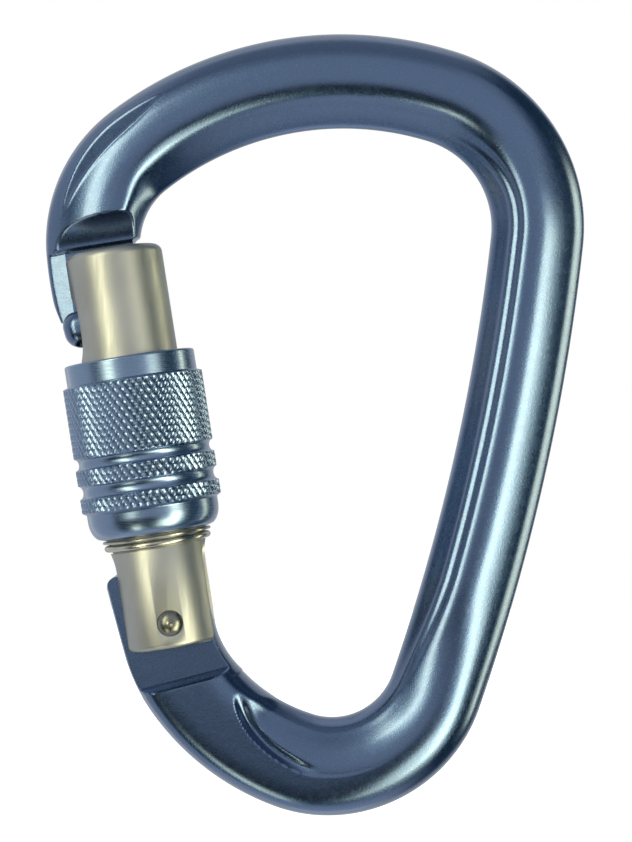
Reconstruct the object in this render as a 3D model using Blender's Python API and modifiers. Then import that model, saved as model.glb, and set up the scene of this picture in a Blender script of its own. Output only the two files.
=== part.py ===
"""Screw-gate locking carabiner with a pear-shaped frame and a keylock nose.

World frame: the carabiner stands upright in the XZ plane, wide end up, with its mid-plane at Y = 0.
The origin is the inner apex of the wide basket, where a rope or an anchor carries the load.
The spine is on the +X side and the gate on the -X side. Lengths below are in millimetres.

Gate frame: the barrel, the sleeve and the two ends of the frame are laid out along the gate's own
axis. A gate-frame point is (across, depth, along): "along" runs up the barrel from the rivet's
level, "across" points from the outside of the gate towards the spine, and depth is world Y.
"""
import math

import bmesh
import bpy
from mathutils import Matrix, Vector

MM = 0.001

# How far a cutter reaches past the body it cuts, and how far a mirror or a lathe merges points.
REACH = 30.0
MERGE = 0.00001

# ---------------------------------------------------------------- frame body
PATH_START = (-34.1, -18.0)
PATH_HEADING = 95.1
NOSE_LEAD = (50.0, -15.0)
# Each arc of the centreline is (length, turn in degrees, section width where it ends).
NOSE_WIDTH = 13.5
PATH_ARCS = (
    (16.7, -57.4, 13.7),
    (46.3, -55.0, 13.4),
    (27.1, -79.0, 13.3),
    (66.5, -12.8, 13.4),
    (25.1, -89.5, 14.1),
    (18.7, -35.3, 13.7),
    (7.2, -20.5, 13.6),
    (18.0, -2.0, 13.6),
)
STATION_TURN = 6.0
STATION_LENGTH = 6.0

SECTION_WIDTH = 13.4
CREST = 5.6
# Half sections, (inset from the outer edge, half thickness), from the outer edge to the inner edge.
# The body is forged with a flat crest and an inner step; the ends are fuller on their own sides.
MAIN_SECTION = (
    (0.0, 0.0),
    (0.35, 1.9),
    (1.2, 3.5),
    (2.4, 4.6),
    (3.9, 5.3),
    (5.3, CREST),
    (8.1, CREST),
    (9.0, 5.1),
    (9.7, 4.2),
    (10.5, 3.6),
    (11.6, 3.2),
    (12.6, 2.3),
    (13.2, 1.2),
    (13.4, 0.0),
)
NOSE_SECTION = (
    (0.0, 0.0),
    (0.3, 1.2),
    (1.0, 2.1),
    (2.2, 2.95),
    (4.0, 3.75),
    (6.2, 4.7),
    (9.4, 5.5),
    (10.4, 5.55),
    (11.1, 5.35),
    (11.7, 4.8),
    (12.3, 3.8),
    (12.8, 2.7),
    (13.2, 1.4),
    (13.4, 0.0),
)
HINGE_SECTION = (
    (0.0, 0.0),
    (0.3, 2.6),
    (0.8, 4.2),
    (1.6, 5.1),
    (2.6, 5.5),
    (3.8, CREST),
    (8.6, CREST),
    (9.6, 5.55),
    (10.5, 5.4),
    (11.3, 5.0),
    (12.1, 4.3),
    (12.8, 3.2),
    (13.25, 1.8),
    (13.4, 0.0),
)
# Distances from the nose end of the centreline between which one section turns into the next.
NOSE_BLEND = (13.0, 40.0)
HINGE_BLEND = (185.0, 212.0)

# ---------------------------------------------------------------- gate axis
GATE_BASE = (-23.1, -70.8)
GATE_LEAN = 8.9
RIVET_ACROSS = 0.5

# ---------------------------------------------------------------- nose and key
SHOULDER = 54.7
SCOOP_DEPTH = 2.7
SCOOP_RADIUS = 4.4
TONGUE_HALF = 2.1
TONGUE_INNER = 3.3
TONGUE_INNER_RELIEF = 0.4
TONGUE_END_LEFT = -25.0
TONGUE_END_RIGHT = 19.0
TONGUE_END = 44.5
KEY_BOTTOM = 40.9
KEY_TOP = 46.2
KEY_OUTER = -8.3
KEY_INNER = 0.6
KEY_HALF = 3.5
KEY_ROUND = 2.2
KEY_LEAN = 6.0
KEY_ROUND_SEGMENTS = 4

# ---------------------------------------------------------------- hinge tongue
LUG_HALF = 3.1
LUG_STEP = -8.5
LUG_STEP_TILT = 5.7
LUG_STEP_RUN = 1.2
LUG_TOP = 7.4
LUG_CORNER_RADIUS = 1.45
LUG_CORNER_ACROSS = -6.5
CAM_START_RADIUS = 6.6
CAM_START_ANGLE = 94.0
CAM_END_ANGLE = 60.0
CAM_RISE = 0.05
CAM_STEPS = 6
# The notch beside the plunger and the tongue's inner edge below the cam, as (across, along).
LUG_NOTCH = ((-2.8, LUG_TOP), (-2.0, CAM_START_RADIUS))
LUG_INNER_EDGE = ((6.0, 3.5), (6.5, 0.0), (6.9, -2.6))

# ---------------------------------------------------------------- barrel
BARREL_RADIUS = 7.08
BARREL_BOTTOM = -3.7
BARREL_TOP = 53.9
BARREL_EDGE = 1.2
BARREL_FOOT_EDGE = 0.9
RING_GROOVE_RADIUS = 6.75
RING_GROOVE = (10.7, 12.2)
THREAD_COLLAR = (22.0, 27.0)
THREAD_ROOT = 7.6
THREAD_CREST = 8.2
THREAD_PITCH = 2.0
THREAD_BASE_WIDTH = 1.0
THREAD_CREST_WIDTH = 0.4
THREAD_EMBED = 0.3
THREAD_RUNOUT = 0.6
RIDGE_INSET = (0.6, 0.4)
HINGE_SLOT_HALF = 3.4
HINGE_SLOT_TOP = 8.0
BORE_BOTTOM = 4.0
BORE_RADIUS = 3.3
BORE_TOP = 34.0
NOSE_SLOT_HALF = 2.4
NOSE_SLOT_INNER = 3.8
NOSE_SLOT_BOTTOM = 39.0
KEY_POCKET_HALF = 3.9
KEY_POCKET_CENTRES = (41.4, 44.7)
KEY_POCKET_INNER = 1.1

# ---------------------------------------------------------------- rivet
RIVET_RADIUS = 1.45
RIVET_HOLE = 1.55
RIVET_HEAD = 1.7
RIVET_SEAT_RADIUS = 1.85
RIVET_SEAT = 6.55
RIVET_HEAD_GAP = 0.1
RIVET_TIP = 7.8
RIVET_DIMPLE_RADIUS = 0.55
RIVET_DIMPLE_DEPTH = 0.3
# The head's crown as (radius, drop from the tip).
RIVET_CROWN = ((1.1, 0.12), (1.5, 0.45), (RIVET_HEAD, 0.8))

# ---------------------------------------------------------------- spring and plunger
PLUNGER_RADIUS = 3.0
PLUNGER_STEM = 1.2
PLUNGER_TIP = 6.85
PLUNGER_BODY = (9.8, 12.6)
PLUNGER_CHAMFER = 0.3
PLUNGER_NOSE = 0.6
PLUNGER_SPIGOT = (1.9, 0.4)
SPRING_RADIUS = 2.6
SPRING_WIRE = 0.35
SPRING_SPAN = (13.2, 33.4)
SPRING_TURNS = 9
SPRING_STEPS = 16

# ---------------------------------------------------------------- sleeve and rings
LIP_BORE = 7.35
LIP_TOP = 15.7
THREAD_BORE = 8.5
SLEEVE_THREAD = (16.6, 26.8)
SLEEVE_THREAD_CREST = 7.85
MOUTH_BORE = 8.75
MOUTH_BOTTOM = 33.2
SLEEVE_TOP = 38.2
SLEEVE_BOTTOM = 12.7
# The sleeve's rounded base as (radius, along).
SLEEVE_BASE = ((9.35, 15.4), (9.2, 14.4), (8.75, 13.5), (8.2, 12.95), (7.75, SLEEVE_BOTTOM))
MOUTH_CHAMFER = 0.15
COLLAR_EDGE = (0.25, 0.3)
BAND_CORNER = 0.25
GRIP_CORNERS = (0.2, 0.1)
COLLAR_RADIUS = 9.4
GRIP_RADIUS = 10.1
COVE_RADIUS = 9.43
LOWER_BAND = (17.0, 19.0)
UPPER_BAND = (20.9, 23.1)
GRIP = (24.8, 34.9)
STOP_RING = (10.95, 11.85)
STOP_RING_RADII = (7.0, 7.72)
WASHER = (12.1, 12.45)
WASHER_RADII = (7.35, 7.85)

ROUND_STEPS = 36
SMALL_ROUND_STEPS = 24
THREAD_STEPS = 20

MATERIALS = {
    "anodised_frame": ((0.11, 0.16, 0.30), 0.36, 1.0),
    "anodised_sleeve": ((0.16, 0.24, 0.46), 0.32, 1.0),
    "nickel_barrel": ((0.55, 0.54, 0.48), 0.28, 1.0),
    "rivet_steel": ((0.30, 0.30, 0.27), 0.30, 1.0),
    "ring_steel": ((0.60, 0.58, 0.50), 0.25, 1.0),
    "spring_steel": ((0.45, 0.46, 0.48), 0.30, 1.0),
}


def clear_scene():
    for item in list(bpy.data.objects):
        bpy.data.objects.remove(item, do_unlink=True)


def make_collection(name):
    group = bpy.data.collections.new(name)
    bpy.context.scene.collection.children.link(group)
    return group


def make_material(name):
    colour, roughness, metallic = MATERIALS[name]
    material = bpy.data.materials.new(name)
    material.use_nodes = True
    shader = material.node_tree.nodes["Principled BSDF"]
    shader.inputs["Base Color"].default_value = (*colour, 1.0)
    shader.inputs["Roughness"].default_value = roughness
    shader.inputs["Metallic"].default_value = metallic
    return material


# The gate frame's +X is "across", +Y is depth and +Z is "along".
def gate_matrix():
    base = Matrix.Translation((GATE_BASE[0] * MM, 0.0, GATE_BASE[1] * MM))
    return base @ Matrix.Rotation(math.radians(-GATE_LEAN), 4, "Y")


def object_from(name, vertices, edges, faces, group, matrix=None):
    mesh = bpy.data.meshes.new(name)
    mesh.from_pydata([Vector(v) * MM for v in vertices], edges, faces)
    mesh.validate()
    item = bpy.data.objects.new(name, mesh)
    if matrix is not None:
        item.matrix_world = matrix
    group.objects.link(item)
    return item


def finish_part(item, material):
    item.data.materials.append(material)
    item.data.shade_smooth()


def hide_cutter(item):
    item.hide_render = True
    item.display_type = "WIRE"
    return item


def add_boolean(item, tool, operation):
    modifier = item.modifiers.new(tool.name, "BOOLEAN")
    modifier.object = tool
    modifier.operation = operation
    modifier.solver = "EXACT"


def cut(item, *tools):
    for tool in tools:
        add_boolean(item, tool, "DIFFERENCE")


def join(item, *tools):
    for tool in tools:
        add_boolean(item, tool, "UNION")


def arc_points(centre, radius, start, end, steps):
    """Points on an arc from the start angle to the end angle, both in degrees, ends included."""
    points = []
    for step in range(steps + 1):
        angle = math.radians(start + (end - start) * step / steps)
        points.append((centre[0] + radius * math.cos(angle), centre[1] + radius * math.sin(angle)))
    return points


def lathe(name, profile, group, matrix, steps=ROUND_STEPS, closed=False):
    """Turns a profile of (radius, along) points about the local Z axis.

    The profile runs down its outer side. A closed profile makes a ring; an open one ends on the axis.
    """
    vertices = [(radius, 0.0, along) for radius, along in profile]
    count = len(vertices)
    edges = [(i, (i + 1) % count) for i in range(count if closed else count - 1)]
    item = object_from(name, vertices, edges, [], group, matrix)
    screw = item.modifiers.new("turn", "SCREW")
    screw.steps = steps
    screw.render_steps = steps
    screw.use_merge_vertices = True
    screw.merge_threshold = MERGE
    screw.use_smooth_shade = True
    return item


def slab(name, outline, plane, thickness, group, matrix, centre=0.0):
    """A flat outline given a thickness: plane "XZ" is thick along Y, plane "YZ" along X."""
    if plane == "XZ":
        vertices = [(a, centre, b) for a, b in outline]
    else:
        vertices = [(centre, a, b) for a, b in outline]
    item = object_from(name, vertices, [], [tuple(range(len(vertices)))], group, matrix)
    solid = item.modifiers.new("thickness", "SOLIDIFY")
    solid.thickness = thickness * MM
    solid.offset = 0.0
    return item


def box_outline(low, high):
    return [(low[0], low[1]), (high[0], low[1]), (high[0], high[1]), (low[0], high[1])]


def mirror(item, axis):
    modifier = item.modifiers.new("both_sides", "MIRROR")
    modifier.use_axis = tuple(name == axis for name in "XYZ")
    modifier.merge_threshold = MERGE


def rivet_matrix(matrix):
    """The rivet's own frame: +Z along the rivet, which crosses the gate along depth."""
    return matrix @ Matrix.Translation((RIVET_ACROSS * MM, 0.0, 0.0)) @ Matrix.Rotation(math.pi / 2, 4, "X")


# ---------------------------------------------------------------- frame
def path_stations():
    """Walks the centreline from the nose end to the hinge end.

    Returns (x, z, heading in radians, section width, distance walked) at each station.
    """
    lead_radius, lead_turn = NOSE_LEAD
    lead_length = lead_radius * math.radians(-lead_turn)
    heading = math.radians(PATH_HEADING - lead_turn)
    middle = heading + math.radians(lead_turn) / 2
    chord = 2 * lead_radius * math.sin(math.radians(-lead_turn) / 2)
    x = PATH_START[0] - chord * math.cos(middle)
    z = PATH_START[1] - chord * math.sin(middle)
    width = NOSE_WIDTH
    walked = 0.0
    stations = [(x, z, heading, width, walked)]
    for length, turn, end_width in ((lead_length, lead_turn, NOSE_WIDTH),) + PATH_ARCS:
        steps = max(math.ceil(-turn / STATION_TURN), math.ceil(length / STATION_LENGTH))
        bend = math.radians(turn) / steps
        stride = 2 * (length / steps / bend) * math.sin(bend / 2)
        start_width = width
        for step in range(1, steps + 1):
            x += stride * math.cos(heading + bend / 2)
            z += stride * math.sin(heading + bend / 2)
            heading += bend
            width = start_width + (end_width - start_width) * step / steps
            walked += length / steps
            stations.append((x, z, heading, width, walked))
    return stations


def eased(value, low, high):
    """Rises smoothly from 0 at low to 1 at high."""
    share = min(max((value - low) / (high - low), 0.0), 1.0)
    return share * share * (3.0 - 2.0 * share)


def half_section(walked):
    nose = 1.0 - eased(walked, *NOSE_BLEND)
    hinge = eased(walked, *HINGE_BLEND)
    main = 1.0 - nose - hinge
    return [
        (main * a[0] + nose * b[0] + hinge * c[0], main * a[1] + nose * b[1] + hinge * c[1])
        for a, b, c in zip(MAIN_SECTION, NOSE_SECTION, HINGE_SECTION)
    ]


def section_ring(x, z, heading, width, walked):
    inward = (math.sin(heading), -math.cos(heading))
    scale = width / SECTION_WIDTH
    section = half_section(walked)
    back = [(inset, -half) for inset, half in section]
    front = [(inset, half) for inset, half in section[-2:0:-1]]
    ring = []
    for inset, depth in back + front:
        offset = inset * scale - width / 2
        ring.append((x + inward[0] * offset, depth, z + inward[1] * offset))
    return ring


# The section changes along the path, so the body is lofted by hand.
def frame_loft(name, group):
    rings = [section_ring(*station) for station in path_stations()]
    size = len(rings[0])
    vertices = [point for ring in rings for point in ring]
    faces = [tuple(range(size))]
    for row in range(len(rings) - 1):
        start = row * size
        for i in range(size):
            j = (i + 1) % size
            faces.append((start + j, start + i, start + size + i, start + size + j))
    last = (len(rings) - 1) * size
    faces.append(tuple(last + i for i in reversed(range(size))))
    item = object_from(name, vertices, [], faces, group)
    mesh = bmesh.new()
    mesh.from_mesh(item.data)
    bmesh.ops.recalc_face_normals(mesh, faces=mesh.faces)
    mesh.to_mesh(item.data)
    mesh.free()
    return item


def nose_side_cutter(group, matrix):
    """Thins the nose to its tongue, and runs out in a hollow scoop above the shoulder."""
    scoop_centre = (SCOOP_DEPTH + SCOOP_RADIUS, SHOULDER)
    outline = [(TONGUE_HALF, REACH), (TONGUE_HALF, SHOULDER)]
    outline += arc_points(scoop_centre, SCOOP_RADIUS, 180.0, 90.0, 8)
    outline += [(2 * CREST, SHOULDER + SCOOP_RADIUS), (2 * CREST, REACH)]
    item = slab("cut_nose_sides", outline, "YZ", REACH, group, matrix)
    mirror(item, "Y")
    return hide_cutter(item)


def nose_inner_cutter(group, matrix):
    outline = box_outline((TONGUE_INNER, REACH), (REACH, SHOULDER + TONGUE_INNER_RELIEF))
    return hide_cutter(slab("cut_nose_inner", outline, "XZ", REACH, group, matrix))


def nose_end_cutter(group, matrix):
    outline = box_outline((TONGUE_END_LEFT, TONGUE_END - REACH), (TONGUE_END_RIGHT, TONGUE_END))
    return hide_cutter(slab("cut_nose_end", outline, "XZ", REACH, group, matrix))


def key_bead(group, matrix):
    """The rounded bar across the end of the nose, which the barrel's pocket hooks behind."""
    width = KEY_INNER - KEY_OUTER
    height = KEY_TOP - KEY_BOTTOM
    lean = Matrix.Rotation(math.radians(-KEY_LEAN), 4, "Y")
    middle = Vector(((KEY_INNER + KEY_OUTER) / 2 * MM, 0.0, (KEY_TOP + KEY_BOTTOM) / 2 * MM))
    outline = box_outline((-width / 2, -height / 2), (width / 2, height / 2))
    place = matrix @ Matrix.Translation(middle) @ lean
    item = slab("add_key_bead", outline, "XZ", 2 * KEY_HALF, group, place)
    bevel = item.modifiers.new("rounding", "BEVEL")
    bevel.width = KEY_ROUND * MM
    bevel.segments = KEY_ROUND_SEGMENTS
    bevel.limit_method = "NONE"
    return hide_cutter(item)


def lug_side_cutter(group, matrix):
    """Thins the hinge end to its tongue, up a sloped step from the full section."""
    outline = [
        (LUG_HALF, REACH),
        (LUG_HALF, 0.0),
        (CREST, -LUG_STEP_RUN),
        (2 * CREST, -LUG_STEP_RUN * (2 * CREST - LUG_HALF) / (CREST - LUG_HALF)),
        (2 * CREST, REACH),
    ]
    tilt = Matrix.Rotation(math.radians(-LUG_STEP_TILT), 4, "Y")
    place = matrix @ Matrix.Translation((0.0, 0.0, LUG_STEP * MM)) @ tilt
    item = slab("cut_lug_sides", outline, "YZ", REACH, group, place)
    mirror(item, "Y")
    return hide_cutter(item)


def lug_outline_cutter(group, matrix):
    """Trims the hinge tongue to its outer stop, its plunger notch and its rising cam."""
    corner_centre = (LUG_CORNER_ACROSS, LUG_TOP - LUG_CORNER_RADIUS)
    outline = [(-REACH / 2, corner_centre[1])]
    outline += arc_points(corner_centre, LUG_CORNER_RADIUS, 180.0, 90.0, 5)
    outline += LUG_NOTCH
    for step in range(CAM_STEPS + 1):
        turn = (CAM_START_ANGLE - CAM_END_ANGLE) * step / CAM_STEPS
        radius = CAM_START_RADIUS + CAM_RISE * turn
        angle = math.radians(CAM_START_ANGLE - turn)
        outline.append((RIVET_ACROSS + radius * math.cos(angle), radius * math.sin(angle)))
    outline += LUG_INNER_EDGE
    outline += [(REACH / 2, LUG_INNER_EDGE[-1][1]), (REACH / 2, REACH), (-REACH / 2, REACH)]
    return hide_cutter(slab("cut_lug_outline", outline, "XZ", REACH, group, matrix))


def rivet_hole_cutter(name, group, matrix):
    end = REACH / 2
    profile = [(0.0, end), (RIVET_HOLE, end), (RIVET_HOLE, -end), (0.0, -end)]
    return hide_cutter(lathe(name, profile, group, rivet_matrix(matrix), steps=SMALL_ROUND_STEPS))


def build_frame(parts, tools, matrix):
    frame = frame_loft("frame", parts)
    cut(frame, nose_side_cutter(tools, matrix))
    cut(frame, nose_inner_cutter(tools, matrix), nose_end_cutter(tools, matrix))
    join(frame, key_bead(tools, matrix))
    cut(frame, lug_side_cutter(tools, matrix), lug_outline_cutter(tools, matrix))
    cut(frame, rivet_hole_cutter("cut_lug_hole", tools, matrix))
    return frame


# ---------------------------------------------------------------- gate
def helix_ridge(name, span, radii, phase, crest_out, group, matrix):
    """A trapezoid thread ridge between two radii, with its crest on the outer or the inner side."""
    inner, outer = radii
    wide = THREAD_BASE_WIDTH / 2
    thin = THREAD_CREST_WIDTH / 2
    inner_half, outer_half = (wide, thin) if crest_out else (thin, wide)
    section = [(inner, -inner_half), (outer, -outer_half), (outer, outer_half), (inner, inner_half)]
    total = (span[1] - span[0]) / THREAD_PITCH
    steps = round(total * THREAD_STEPS)
    vertices = []
    for step in range(steps + 1):
        turns = step / THREAD_STEPS
        angle = 2 * math.pi * (turns + phase)
        for radius, rise in section:
            along = span[0] + THREAD_PITCH * turns + rise
            vertices.append((radius * math.cos(angle), radius * math.sin(angle), along))
    faces = [(0, 1, 2, 3)]
    for step in range(steps):
        start = 4 * step
        for i in range(4):
            j = (i + 1) % 4
            faces.append((start + j, start + i, start + 4 + i, start + 4 + j))
    last = 4 * steps
    faces.append((last + 3, last + 2, last + 1, last))
    return hide_cutter(object_from(name, vertices, [], faces, group, matrix))


def barrel_profile():
    edge = BARREL_EDGE
    collar_low, collar_high = THREAD_COLLAR
    groove_low, groove_high = RING_GROOVE
    profile = [(0.0, BARREL_TOP)]
    profile += arc_points((BARREL_RADIUS - edge, BARREL_TOP - edge), edge, 90.0, 0.0, 4)
    profile += [(BARREL_RADIUS, collar_high + THREAD_RUNOUT)]
    profile += [(THREAD_ROOT, collar_high), (THREAD_ROOT, collar_low)]
    profile += [(BARREL_RADIUS, collar_low), (BARREL_RADIUS, groove_high), (RING_GROOVE_RADIUS, groove_high)]
    profile += [(RING_GROOVE_RADIUS, groove_low), (BARREL_RADIUS, groove_low)]
    foot = BARREL_FOOT_EDGE
    profile += arc_points((BARREL_RADIUS - foot, BARREL_BOTTOM + foot), foot, 0.0, -90.0, 3)
    profile += [(0.0, BARREL_BOTTOM)]
    return profile


def round_slot(name, half, low, high, across_low, across_high, group, matrix):
    """A slot milled along "across", with round ends, between two levels of its end centres."""
    outline = arc_points((0.0, high), half, 0.0, 180.0, 10)
    outline += arc_points((0.0, low), half, 180.0, 360.0, 10)
    width = across_high - across_low
    centre = (across_high + across_low) / 2
    return hide_cutter(slab(name, outline, "YZ", width, group, matrix, centre))


def bore_cutter(group, matrix):
    profile = [(0.0, BORE_TOP), (BORE_RADIUS, BORE_TOP), (BORE_RADIUS, BORE_BOTTOM), (0.0, BORE_BOTTOM)]
    return hide_cutter(lathe("cut_bore", profile, group, matrix, steps=SMALL_ROUND_STEPS))


def hinge_slot_cutter(group, matrix):
    low = HINGE_SLOT_TOP - REACH
    return round_slot("cut_hinge_slot", HINGE_SLOT_HALF, low, HINGE_SLOT_TOP, -REACH, REACH, group, matrix)


def nose_slot_cutter(group, matrix):
    outline = box_outline((-REACH, NOSE_SLOT_BOTTOM), (NOSE_SLOT_INNER, NOSE_SLOT_BOTTOM + REACH))
    return hide_cutter(slab("cut_nose_slot", outline, "XZ", 2 * NOSE_SLOT_HALF, group, matrix))


def key_pocket_cutter(group, matrix):
    low, high = KEY_POCKET_CENTRES
    return round_slot("cut_key_pocket", KEY_POCKET_HALF, low, high, -REACH, KEY_POCKET_INNER, group, matrix)


def barrel_thread(group, matrix):
    span = (THREAD_COLLAR[0] + RIDGE_INSET[0], THREAD_COLLAR[1] - RIDGE_INSET[1])
    radii = (THREAD_ROOT - THREAD_EMBED, THREAD_CREST)
    return helix_ridge("add_barrel_thread", span, radii, 0.0, True, group, matrix)


def build_barrel(parts, tools, matrix):
    barrel = lathe("gate_barrel", barrel_profile(), parts, matrix)
    join(barrel, barrel_thread(tools, matrix))
    cut(barrel, hinge_slot_cutter(tools, matrix), bore_cutter(tools, matrix))
    cut(barrel, nose_slot_cutter(tools, matrix), key_pocket_cutter(tools, matrix))
    cut(barrel, rivet_hole_cutter("cut_barrel_hole", tools, matrix), rivet_seat_cutter(tools, matrix))
    return barrel


def rivet_seat_cutter(group, matrix):
    end = REACH / 2
    profile = [(0.0, end), (RIVET_SEAT_RADIUS, end), (RIVET_SEAT_RADIUS, RIVET_SEAT), (0.0, RIVET_SEAT)]
    item = lathe("cut_rivet_seats", profile, group, rivet_matrix(matrix), steps=SMALL_ROUND_STEPS)
    mirror(item, "Z")
    return hide_cutter(item)


def build_rivet(parts, matrix):
    """A plain shank with a domed, dimpled head at each end."""
    under = RIVET_SEAT + RIVET_HEAD_GAP
    head = [(0.0, RIVET_TIP - RIVET_DIMPLE_DEPTH), (RIVET_DIMPLE_RADIUS, RIVET_TIP)]
    head += [(radius, RIVET_TIP - drop) for radius, drop in RIVET_CROWN]
    head += [(RIVET_HEAD, under), (RIVET_RADIUS, under)]
    other = [(radius, -along) for radius, along in reversed(head)]
    return lathe("gate_rivet", head + other, parts, rivet_matrix(matrix), steps=SMALL_ROUND_STEPS)


def build_plunger(parts, matrix):
    """The cap under the spring; its stem bears on the hinge tongue's cam."""
    low, high = PLUNGER_BODY
    chamfer = PLUNGER_CHAMFER
    spigot, rise = PLUNGER_SPIGOT
    profile = [(0.0, high + rise), (spigot, high + rise), (spigot, high), (PLUNGER_RADIUS, high)]
    profile += [(PLUNGER_RADIUS, low + chamfer), (PLUNGER_RADIUS - chamfer, low), (PLUNGER_STEM, low)]
    profile += [(PLUNGER_STEM, PLUNGER_TIP + chamfer), (PLUNGER_NOSE, PLUNGER_TIP), (0.0, PLUNGER_TIP)]
    return lathe("spring_plunger", profile, parts, matrix, steps=SMALL_ROUND_STEPS)


def build_spring(parts, matrix):
    """A round wire wound at a steady pitch."""
    low = SPRING_SPAN[0] + SPRING_WIRE
    high = SPRING_SPAN[1] - SPRING_WIRE
    count = SPRING_TURNS * SPRING_STEPS
    curve = bpy.data.curves.new("spring_path", "CURVE")
    curve.dimensions = "3D"
    curve.bevel_depth = SPRING_WIRE * MM
    curve.bevel_resolution = 1
    curve.use_fill_caps = True
    path = curve.splines.new("POLY")
    path.points.add(count)
    for i, point in enumerate(path.points):
        angle = 2 * math.pi * i / SPRING_STEPS
        along = low + (high - low) * i / count
        place = Vector((SPRING_RADIUS * math.cos(angle), SPRING_RADIUS * math.sin(angle), along)) * MM
        point.co = (*place, 1.0)
    wire = bpy.data.objects.new("spring_path", curve)
    mesh = bpy.data.meshes.new_from_object(wire)
    bpy.data.objects.remove(wire, do_unlink=True)
    solid = bmesh.new()
    solid.from_mesh(mesh)
    bmesh.ops.remove_doubles(solid, verts=solid.verts, dist=MERGE)
    bmesh.ops.recalc_face_normals(solid, faces=solid.faces)
    solid.to_mesh(mesh)
    solid.free()
    item = bpy.data.objects.new("gate_spring", mesh)
    item.matrix_world = matrix
    parts.objects.link(item)
    return item


# ---------------------------------------------------------------- sleeve and rings
def band_points(span):
    """A raised band on the sleeve, down its outer side."""
    low, high = span
    return [
        (COVE_RADIUS, high + BAND_CORNER),
        (GRIP_RADIUS, high - BAND_CORNER),
        (GRIP_RADIUS, low + BAND_CORNER),
        (COVE_RADIUS, low - BAND_CORNER),
    ]


def sleeve_profile():
    edge_in, edge_down = COLLAR_EDGE
    low_corner, high_corner = GRIP_CORNERS
    profile = [(MOUTH_BORE + MOUTH_CHAMFER, SLEEVE_TOP), (COLLAR_RADIUS - edge_in, SLEEVE_TOP)]
    profile += [(COLLAR_RADIUS, SLEEVE_TOP - edge_down), (COLLAR_RADIUS, GRIP[1] + edge_down)]
    profile += [(GRIP_RADIUS, GRIP[1] - high_corner), (GRIP_RADIUS, GRIP[0] + low_corner)]
    profile += [(COVE_RADIUS, GRIP[0] - low_corner)]
    profile += band_points(UPPER_BAND)
    profile += band_points(LOWER_BAND)
    profile += SLEEVE_BASE
    profile += [(LIP_BORE, SLEEVE_BOTTOM), (LIP_BORE, LIP_TOP), (THREAD_BORE, LIP_TOP)]
    profile += [(THREAD_BORE, MOUTH_BOTTOM), (MOUTH_BORE, MOUTH_BOTTOM)]
    profile += [(MOUTH_BORE, SLEEVE_TOP - MOUTH_CHAMFER)]
    return profile


def sleeve_thread(group, matrix):
    """The sleeve's inner ridge runs half a pitch away from the barrel's, so the two mesh."""
    radii = (SLEEVE_THREAD_CREST, THREAD_BORE + THREAD_EMBED)
    barrel_start = THREAD_COLLAR[0] + RIDGE_INSET[0]
    phase = 0.5 - (barrel_start - SLEEVE_THREAD[0]) / THREAD_PITCH
    return helix_ridge("add_sleeve_thread", SLEEVE_THREAD, radii, phase, False, group, matrix)


def build_sleeve(parts, tools, matrix):
    sleeve = lathe("locking_sleeve", sleeve_profile(), parts, matrix, closed=True)
    join(sleeve, sleeve_thread(tools, matrix))
    return sleeve


def build_stop_ring(parts, matrix):
    """The snap ring in the barrel's groove, with a rounded outer edge."""
    low, high = STOP_RING
    inner, outer = STOP_RING_RADII
    half = (high - low) / 2
    middle = (high + low) / 2
    profile = [(inner, high)]
    profile += arc_points((outer - half, middle), half, 90.0, -90.0, 6)
    profile += [(inner, low)]
    return lathe("stop_ring", profile, parts, matrix, closed=True)


def build_washer(parts, matrix):
    """The thin ring under the sleeve, which travels with it."""
    low, high = WASHER
    inner, outer = WASHER_RADII
    profile = [(inner, high), (outer, high), (outer, low), (inner, low)]
    return lathe("thrust_washer", profile, parts, matrix, closed=True)


def add_pivot(parts, matrix, children):
    """An empty on the hinge axis that carries the gate's pieces."""
    pivot = bpy.data.objects.new("gate_pivot", None)
    pivot.matrix_world = rivet_matrix(matrix)
    parts.objects.link(pivot)
    for child in children:
        child.parent = pivot
        child.matrix_parent_inverse = pivot.matrix_world.inverted()


def main():
    clear_scene()
    parts = make_collection("screw_gate_carabiner")
    tools = make_collection("cutters")
    matrix = gate_matrix()
    materials = {name: make_material(name) for name in MATERIALS}

    frame = build_frame(parts, tools, matrix)
    barrel = build_barrel(parts, tools, matrix)
    rivet = build_rivet(parts, matrix)
    plunger = build_plunger(parts, matrix)
    spring = build_spring(parts, matrix)
    sleeve = build_sleeve(parts, tools, matrix)
    stop_ring = build_stop_ring(parts, matrix)
    washer = build_washer(parts, matrix)

    finish_part(frame, materials["anodised_frame"])
    finish_part(sleeve, materials["anodised_sleeve"])
    finish_part(barrel, materials["nickel_barrel"])
    finish_part(rivet, materials["rivet_steel"])
    finish_part(stop_ring, materials["ring_steel"])
    finish_part(washer, materials["ring_steel"])
    finish_part(plunger, materials["spring_steel"])
    finish_part(spring, materials["spring_steel"])
    add_pivot(parts, matrix, [barrel, rivet, spring, plunger, sleeve, stop_ring, washer])


main()
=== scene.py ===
import math
from collections import namedtuple

import bmesh
import bpy
import numpy as np
from mathutils import Matrix, Vector


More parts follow.
